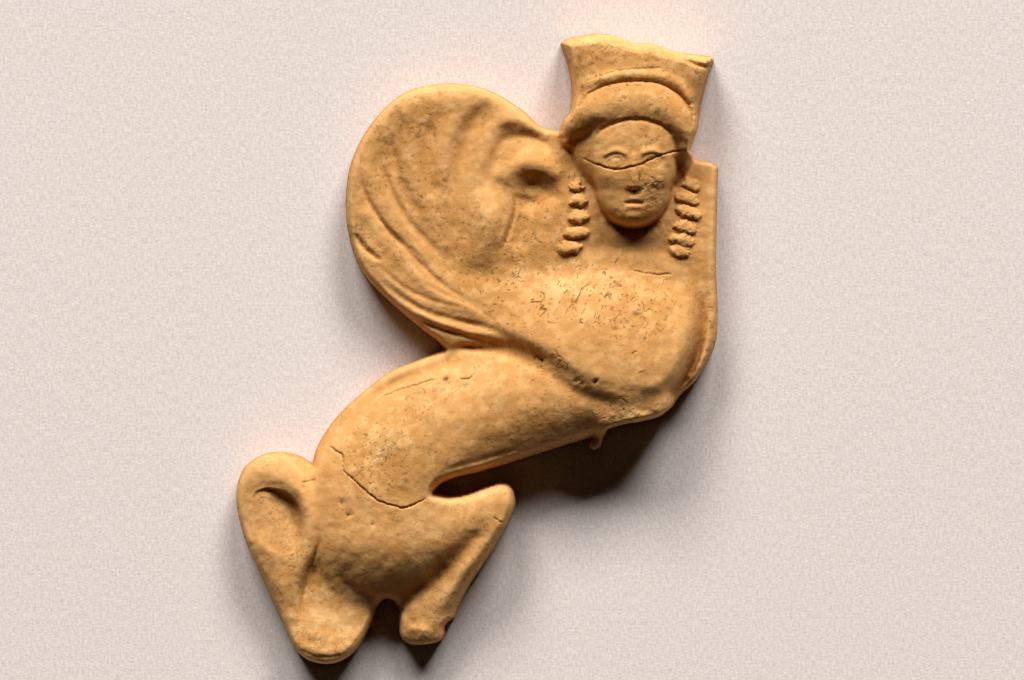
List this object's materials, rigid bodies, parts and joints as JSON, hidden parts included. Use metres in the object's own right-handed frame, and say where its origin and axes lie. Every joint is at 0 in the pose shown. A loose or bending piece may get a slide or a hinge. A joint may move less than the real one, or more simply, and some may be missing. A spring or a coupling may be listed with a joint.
{
  "type": "clay relief of a seated sphinx",
  "caption": "Mould-made fired clay relief of a seated winged sphinx, cut out round its outline, with a flat back; lies on its back for display.",
  "frame": {"origin": "middle of the outline's length and width, on the flat back", "axes": "+Z out of the modelled face, away from the flat back; +Y up the figure, towards the headdress; +X the way the sphinx's body faces"},
  "size_m": [0.096, 0.1258, 0.0163],
  "materials": {
    "terracotta": "matt unglazed ochre clay with worn cream highlights, grey-brown dirt in its hollows, fine cracks and pits"
  },
  "bodies": {
    "root": {"sphinx_relief": "terracotta"}
  },
  "joints": []
}
